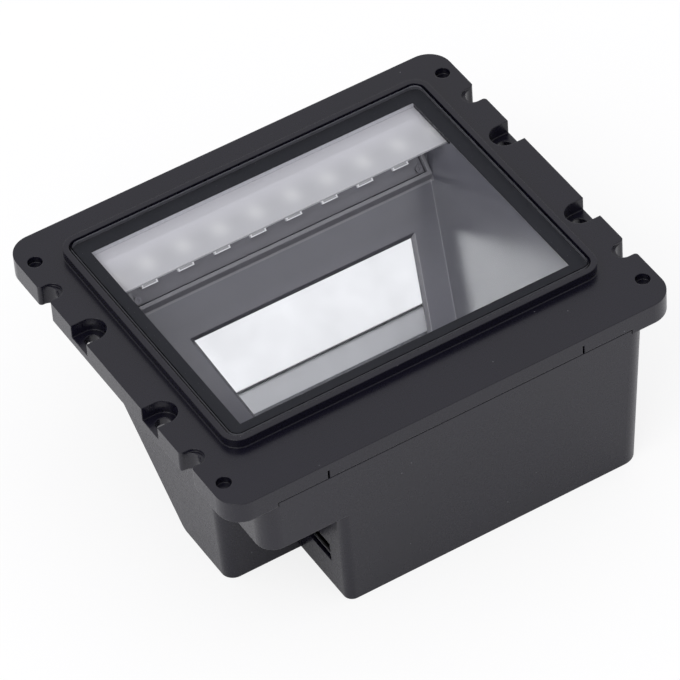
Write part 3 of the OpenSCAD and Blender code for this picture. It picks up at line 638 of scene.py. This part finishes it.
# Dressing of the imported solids

def dress(material, *nodes):
    """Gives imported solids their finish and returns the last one."""
    for node in nodes:
        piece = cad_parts[node]
        piece.data.materials.clear()
        piece.data.materials.append(material)
    return piece


def add_piece(name, mesh_maker, material):
    """Makes a visual piece from a bmesh and lets it ride on the reader."""
    mesh = bpy.data.meshes.new(name)
    shape = bmesh.new()
    mesh_maker(shape)
    shape.to_mesh(mesh)
    shape.free()
    piece = bpy.data.objects.new(name, mesh)
    bpy.context.scene.collection.objects.link(piece)
    piece.data.materials.append(material)
    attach(piece, BODY)


def add_block(shape, matrix, size, bevel):
    """Adds a box of a size at a place, with small bevels."""
    made = bmesh.ops.create_cube(shape, size=1.0, matrix=matrix @ Matrix.Diagonal((*size, 1.0)))
    edges = list({e for v in made["verts"] for e in v.link_edges})
    bmesh.ops.bevel(shape, geom=edges, offset=bevel, segments=2, profile=0.5, affect="EDGES", material=-1)


def panel_frame():
    """Matrix of the 45 degree panel at the middle of the row of light chips: y up the panel, z away from it."""
    low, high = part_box("leds")
    return Matrix.Translation((low + high) / 2) @ Matrix.Rotation(PANEL_ANGLE, 4, "X")


# Properties

def colour_prop(name, description, default):
    """A colour that a user may change."""
    return bpy.props.FloatVectorProperty(name=name, description=description, subtype="COLOR", size=3, min=0.0, max=1.0,
                                         default=default)


def share_prop(name, description, default):
    """A share from 0 to 1 that a user may change."""
    return bpy.props.FloatProperty(name=name, description=description, subtype="FACTOR", min=0.0, max=1.0,
                                   default=default)


class ReaderFinish(bpy.types.PropertyGroup):
    """Colours and finishes of the reader."""

    case_colour: colour_prop("Case colour", "Moulded plastic of the flange and the case", (0.0034, 0.0029, 0.0085))
    case_roughness: share_prop("Case roughness", "Gloss of the case plastic", 0.27)
    dust_colour: colour_prop("Dust colour", "Specks of dust on the case", (0.09, 0.09, 0.1))
    # Painted light on the ledge's shaded edge
    ledge_painted_light_colour: colour_prop("Ledge painted light", "Painted light on the shaded edge of the ledge over the diffuser", (0.7, 0.7, 0.74))
    hood_colour: colour_prop("Hood colour", "Grey moulding inside the window", (0.097, 0.098, 0.116))
    hood_roughness: share_prop("Hood roughness", "Gloss of the hood", 0.25)
    # Painted light on the shaded foot of the sloped panel
    foot_painted_light_colour: colour_prop("Foot painted light", "Painted light on the shaded foot of the sloped panel of the hood", (0.22, 0.222, 0.25))
    # Pale front wall, and painted light on the shaded rear wall
    wall_and_painted_light_colour: colour_prop("Wall and painted light", "Pale front wall and painted light on the shaded rear wall of the hood", (0.86, 0.86, 0.88))
    recess_colour: colour_prop("Recess colour", "Cut edges behind the hood's sloped panel", (0.1, 0.1, 0.115))
    # Painted light on the frame, over its top and its shaded lower face
    frame_painted_light_colour: colour_prop("Frame painted light", "Painted light on the frame round the light board", (0.165, 0.165, 0.18))
    glass_colour: colour_prop("Glass colour", "Tint of the window", (0.985, 0.985, 0.99))
    glass_ior: bpy.props.FloatProperty(
        name="Glass index", description="Near 1, so that only the sheen at flat angles reflects", min=1.0, max=2.0,
        default=1.01)
    # Painted shade of the gap along the glass's edge
    glass_edge_shade_colour: colour_prop("Glass edge shade", "Painted shade of the gap along the edge of the window",
                                   (0.002, 0.002, 0.003))
    glass_side_colour: colour_prop("Glass side colour", "Ground side of the window glass", (0.075, 0.076, 0.085))
    # Painted highlight on the upper part of the glass's ground side
    glass_rim_highlight_colour: colour_prop("Glass rim highlight", "Painted highlight on the upper part of the ground side", (0.16, 0.163, 0.18))
    border_colour: colour_prop("Border colour", "Black border under the glass", (0.026, 0.027, 0.031))
    border_under_colour: colour_prop("Border underside colour", "Underside of the border, as the mirror shows it",
                                     (0.3, 0.3, 0.31))
    mirror_colour: colour_prop("Mirror colour", "Tint of the fold mirror", (0.95, 0.97, 0.97))
    diffuser_colour: colour_prop("Diffuser colour", "Milky film over the light chips", (0.51, 0.515, 0.53))
    # Painted light on the film along the shaded rear border
    diffuser_rear_painted_light_colour: colour_prop("Rear diffuser painted light", "Painted light on the diffuser along the rear border", (0.66, 0.66, 0.69))
    # Painted light of the spots over the light chips
    spot_painted_light_colour: colour_prop("Spot painted light", "Painted light on the milky film over each light chip", (0.64, 0.645, 0.65))
    diffuser_clear: share_prop("Diffuser clearness", "How far the film shows what lies under it", 0.25)
    diffuser_pass: share_prop("Diffuser pass", "Share of the light that passes each face of the film", 0.75)
    port_colour: colour_prop("Port colour", "Tin at the mouth of the port", (0.7, 0.7, 0.72))
    # Painted shade inside the port
    port_inside_shade_colour: colour_prop("Port inside shade", "Painted shade inside the port", (0.05, 0.05, 0.055))


class ReaderStage(bpy.types.PropertyGroup):
    """Camera and light of the studio stage."""

    lens: bpy.props.FloatProperty(
        name="Lens", description="Focal length of the camera", unit="CAMERA", default=291.3)
    world_light: bpy.props.FloatProperty(
        name="Surround", description="Brightness of the white surround", min=0.0, max=5.0, default=0.9)
    world_colour: colour_prop("Surround colour", "Cool white of the surround", (0.975, 0.968, 1.0))
    key_power: bpy.props.FloatProperty(
        name="Key power", description="Power of the large soft lamp", subtype="POWER", min=0.0, default=2.6)
    floor_colour: colour_prop("Floor colour", "Pale plain floor", (0.97, 0.97, 0.97))
    floor_white: share_prop("Floor white", "Share of plain white in the floor as the camera sees it", 0.8)


# Operators

class READER_OT_case(bpy.types.Operator):
    """Dresses the flange, the case and the screws"""

    bl_idname = "reader.case"
    bl_label = "Flange and case"

    def execute(self, context):
        dress(case_finish(context.scene.reader_finish), "top_cover", "lower_housing")
        steel = brushed("screw_plated_steel", (0.5, 0.5, 0.52), roughness=0.28, along=TURNED)[0]
        grey = brushed("screw_grey_steel", (0.24, 0.24, 0.26), roughness=0.4, along=TURNED)[0]
        dress(steel, "camera_screws", "board_screws", "cover_screws")
        dress(grey, "led_screws")
        return {"FINISHED"}


class READER_OT_window(bpy.types.Operator):
    """Dresses the window glass, its black border and the tape of the mirror"""

    bl_idname = "reader.window"
    bl_label = "Window"

    def execute(self, context):
        props = context.scene.reader_finish
        dress(window_finish(props), "window_glass")
        border = dress(border_finish(props), "window_tape")
        thin = border.modifiers.new("Clear of the glass", "DISPLACE")
        thin.mid_level = 0.0
        thin.strength = -BORDER_CLEARANCE
        foam = moulded("tape_black_foam", props.border_colour, roughness=0.7, scale=5000.0, tone=0.1, spread=0.06,
                       strength=0.1)[0]
        dress(foam, "mirror_tape")
        return {"FINISHED"}


class READER_OT_hood(bpy.types.Operator):
    """Dresses the hood, the fold mirror and the diffuser"""

    bl_idname = "reader.hood"
    bl_label = "Hood and mirror"

    def execute(self, context):
        props = context.scene.reader_finish
        dress(hood_finish(props), "light_hood")
        dress(mirror_finish(props), "fold_mirror")
        dress(diffuser_finish(props), "diffuser_sheet")
        return {"FINISHED"}


class READER_OT_lights(bpy.types.Operator):
    """Dresses the light board and adds the windows of its light chips"""

    bl_idname = "reader.lights"
    bl_label = "Light board"

    def execute(self, context):
        dress(plain_moulding("light_board_mask"), "led_board")
        dress(plain_moulding("light_chip_white"), "leds")
        dress(plain_moulding("flex_amber_film"), "led_flex")
        place = panel_frame()
        pitch = chip_pitch()
        size = (CHIP_WIDTH * CHIP_WINDOW_WIDE, CHIP_LENGTH * CHIP_WINDOW_LONG, CHIP_WINDOW_HEIGHT)

        def windows(shape):
            for i in range(CHIP_COUNT):
                x = (i - (CHIP_COUNT - 1) / 2) * pitch
                at = place @ Matrix.Translation((x, 0.0, CHIP_HALF_HEIGHT + CHIP_WINDOW_LIFT))
                add_block(shape, at, size, CHIP_WINDOW_BEVEL)

        add_piece("led_windows", windows, plain_moulding("light_chip_phosphor"))
        return {"FINISHED"}


class READER_OT_electronics(bpy.types.Operator):
    """Dresses the camera, the boards, the chips and the port"""

    bl_idname = "reader.electronics"
    bl_label = "Camera and boards"

    def execute(self, context):
        dress(plain_moulding("board_green_mask"), "camera_board", "main_board")
        dress(plain_moulding("chip_black_package"), "image_sensor", "decoder_chip", "memory_chip", "port_tongue")
        dress(plain_moulding("lens_matt_black"), "lens_holder", "lens_barrel")
        dress(plain_moulding("socket_ivory"), "camera_socket", "flex_socket")
        dress(port_finish(context.scene.reader_finish), "port_shell")
        dress(lens_finish(), "lens_elements")
        return {"FINISHED"}


class READER_OT_stage(bpy.types.Operator):
    """Sets the floor, the white surround, the soft lamp and the camera"""

    bl_idname = "reader.stage"
    bl_label = "Stage"

    def execute(self, context):
        scene = context.scene
        props = scene.reader_stage
        self.add_floor(scene, props)
        self.add_world(scene, props)
        self.add_lamp(scene, props)
        self.add_camera(scene, props)
        scene.view_settings.view_transform = "Standard"
        return {"FINISHED"}

    def add_floor(self, scene, props):
        """Pale floor that the camera sees nearly white."""
        mesh = bpy.data.meshes.new("floor")
        shape = bmesh.new()
        bmesh.ops.create_grid(shape, x_segments=1, y_segments=1, size=FLOOR_HALF)
        shape.to_mesh(mesh)
        shape.free()
        floor = bpy.data.objects.new("floor", mesh)
        scene.collection.objects.link(floor)
        floor.location.z = -FLOOR_DROP
        material, tree, shader = new_material("floor_pale", props.floor_colour)
        feed_all(tree, shader, Roughness=0.9, Specular_IOR_Level=0.0)
        white = add_node(tree, "ShaderNodeEmission")
        seen = add_node(tree, "ShaderNodeLightPath").outputs["Is Camera Ray"]
        part = math_node(tree, "MULTIPLY", seen, props.floor_white)
        surface(tree, mixed_shader(tree, part, shader.outputs[0], white.outputs[0]))
        floor.data.materials.append(material)

    def add_world(self, scene, props):
        """Cool white surround, plain white where the camera looks straight at it."""
        world = bpy.data.worlds.new("white_surround")
        scene.world = world
        world.use_nodes = True
        tree = world.node_tree
        path = add_node(tree, "ShaderNodeLightPath")
        seen = math_node(tree, "MAXIMUM", path.outputs["Is Camera Ray"], path.outputs["Is Transmission Ray"])
        feed_all(tree, node_of(tree, "BACKGROUND"), Color=props.world_colour,
                 Strength=map_range(tree, seen, WHOLE, (props.world_light, 1.0)))

    def add_lamp(self, scene, props):
        """Large soft lamp from the upper left."""
        lamp = bpy.data.lights.new("key_softbox", "AREA")
        lamp.shape = "RECTANGLE"
        lamp.size, lamp.size_y = LAMP_SIZE
        lamp.energy = props.key_power
        lamp_object = bpy.data.objects.new("key_softbox", lamp)
        scene.collection.objects.link(lamp_object)
        place = LAMP_AIM + LAMP_TOWARD.normalized() * LAMP_DISTANCE
        lamp_object.location = place
        lamp_object.rotation_euler = (LAMP_AIM - place).to_track_quat("-Z", "Y").to_euler()

    def add_camera(self, scene, props):
        """Camera at the photograph's viewing angle."""
        camera = bpy.data.cameras.new("camera")
        camera.lens = props.lens
        camera.sensor_width = CAMERA_SENSOR
        camera.sensor_fit = "HORIZONTAL"
        camera.clip_end = CAMERA_FAR
        camera_object = bpy.data.objects.new("camera", camera)
        scene.collection.objects.link(camera_object)
        axes = Matrix((CAMERA_RIGHT, CAMERA_UP, CAMERA_BACK)).transposed().to_4x4()
        camera_object.matrix_world = Matrix.Translation(CAMERA_EYE) @ axes
        scene.camera = camera_object


class READER_PT_panel(bpy.types.Panel):
    """Lists the steps that dress the reader"""

    bl_idname = "READER_PT_panel"
    bl_label = "Barcode reader"
    bl_space_type = "VIEW_3D"
    bl_region_type = "UI"
    bl_category = "Reader"

    def draw(self, context):
        layout = self.layout
        for operator in OPERATORS:
            layout.operator(operator.bl_idname)
        for group in (context.scene.reader_finish, context.scene.reader_stage):
            for name in group.__annotations__:
                layout.prop(group, name)


OPERATORS = (READER_OT_case, READER_OT_window, READER_OT_hood, READER_OT_lights, READER_OT_electronics,
             READER_OT_stage)
CLASSES = (ReaderFinish, ReaderStage, *OPERATORS, READER_PT_panel)


def register():
    for cls in CLASSES:
        bpy.utils.register_class(cls)
    bpy.types.Scene.reader_finish = bpy.props.PointerProperty(type=ReaderFinish)
    bpy.types.Scene.reader_stage = bpy.props.PointerProperty(type=ReaderStage)


def unregister():
    del bpy.types.Scene.reader_stage
    del bpy.types.Scene.reader_finish
    for cls in reversed(CLASSES):
        bpy.utils.unregister_class(cls)


def main():
    register()
    bpy.ops.reader.case()
    bpy.ops.reader.window()
    bpy.ops.reader.hood()
    bpy.ops.reader.lights()
    bpy.ops.reader.electronics()
    bpy.ops.reader.stage()


if __name__ == "__main__":
    main()
